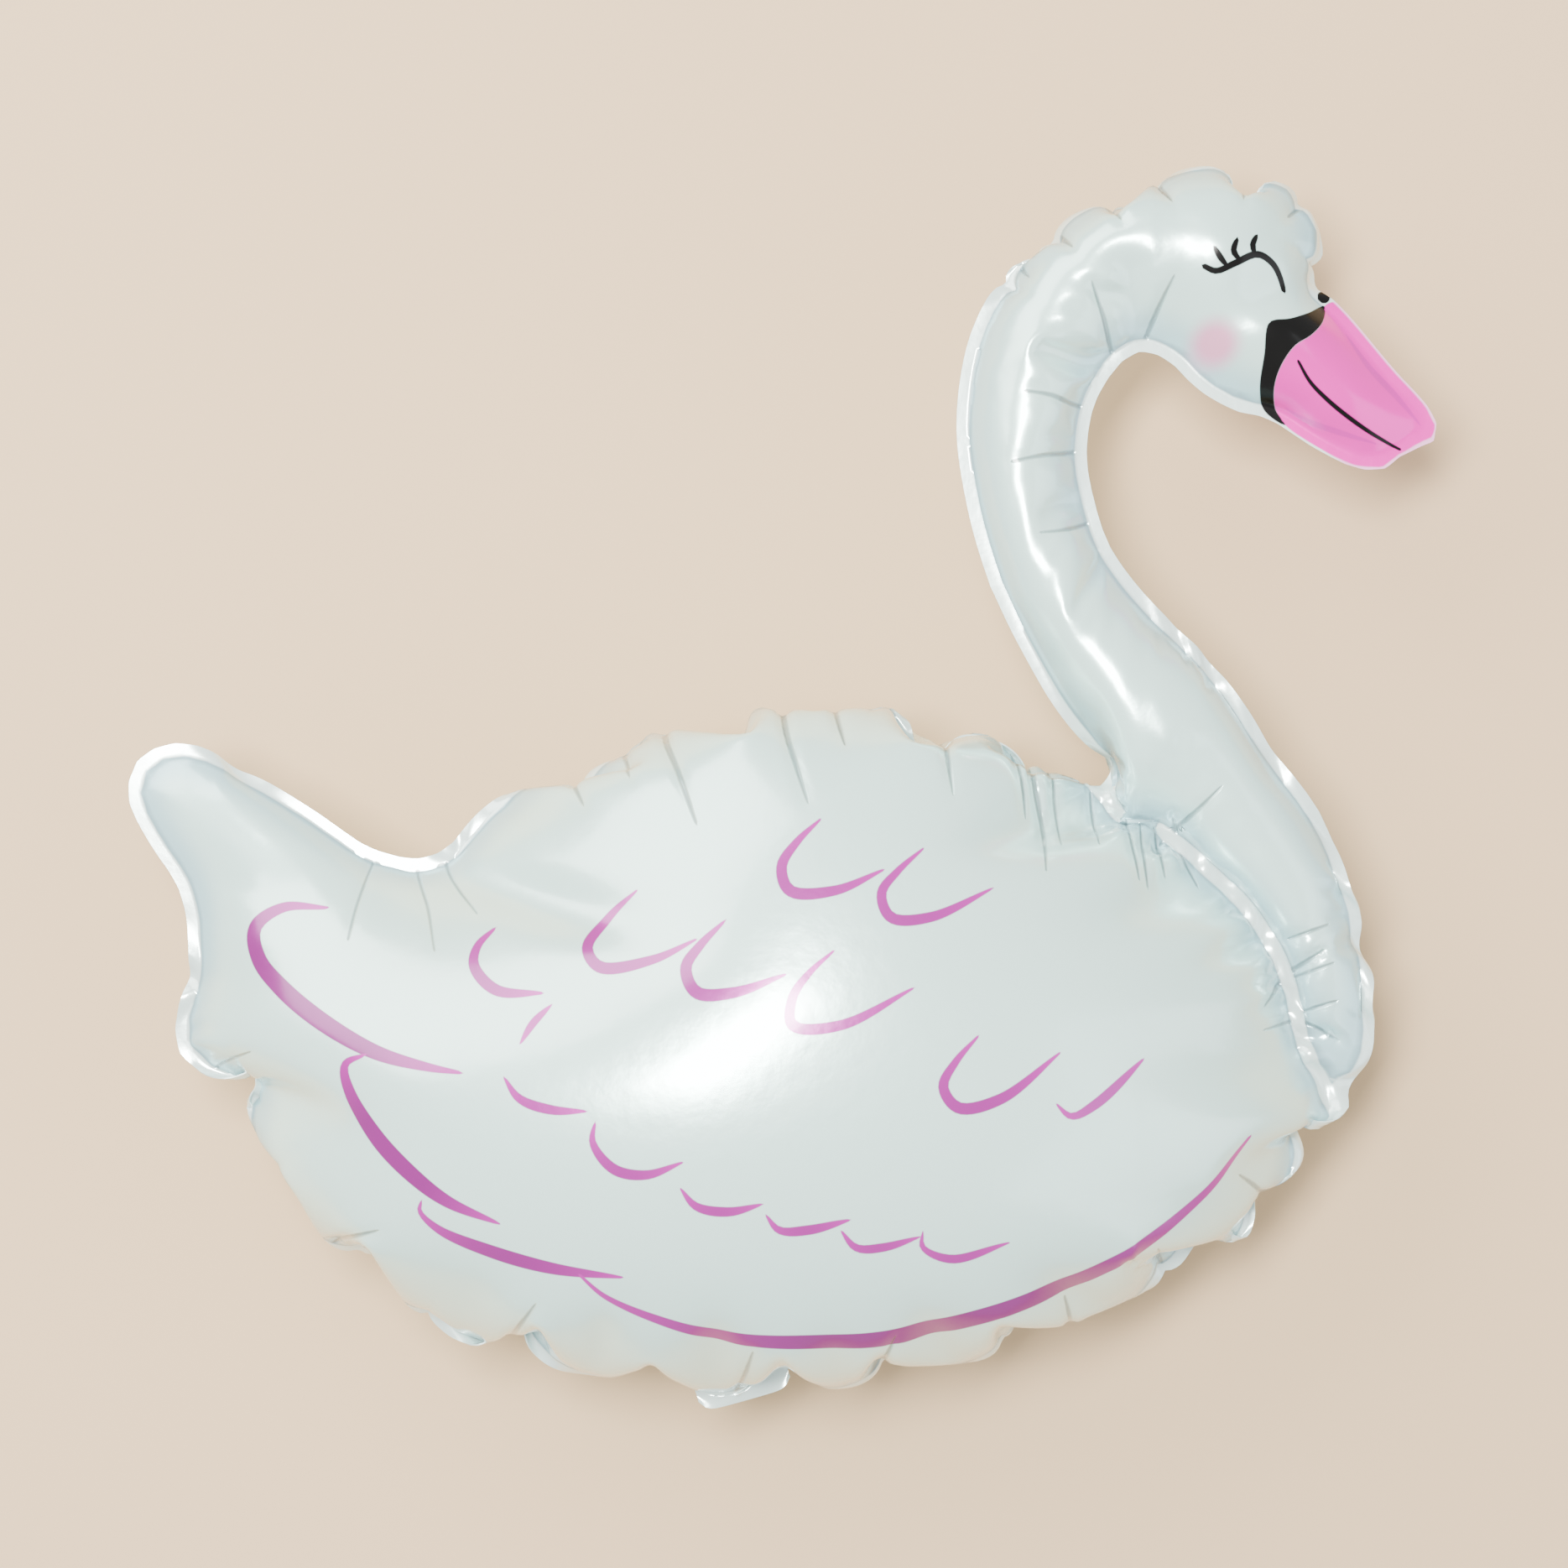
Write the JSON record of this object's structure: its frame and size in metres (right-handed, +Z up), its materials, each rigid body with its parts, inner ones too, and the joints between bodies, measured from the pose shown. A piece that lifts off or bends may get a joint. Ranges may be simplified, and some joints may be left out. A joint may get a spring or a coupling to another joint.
{
  "type": "swan-shaped foil balloon",
  "caption": "Air-filled foil balloon shaped as a swan: plump body, raised tail, curved neck and head with a beak, a flat gathered hem all round and a small filling tab.",
  "frame": {"origin": "middle of the bounding box on the surface that the balloon lies on", "axes": "the swan lies on its side: +X towards the beak, +Y towards the crown, +Z up through the body"},
  "size_m": [0.3418, 0.3258, 0.1072],
  "materials": {
    "pearl_foil": "pearl-white printed metallised film with a soft gloss and pink printed strokes"
  },
  "bodies": {
    "root": {"foil_envelope": "pearl_foil"}
  },
  "joints": []
}
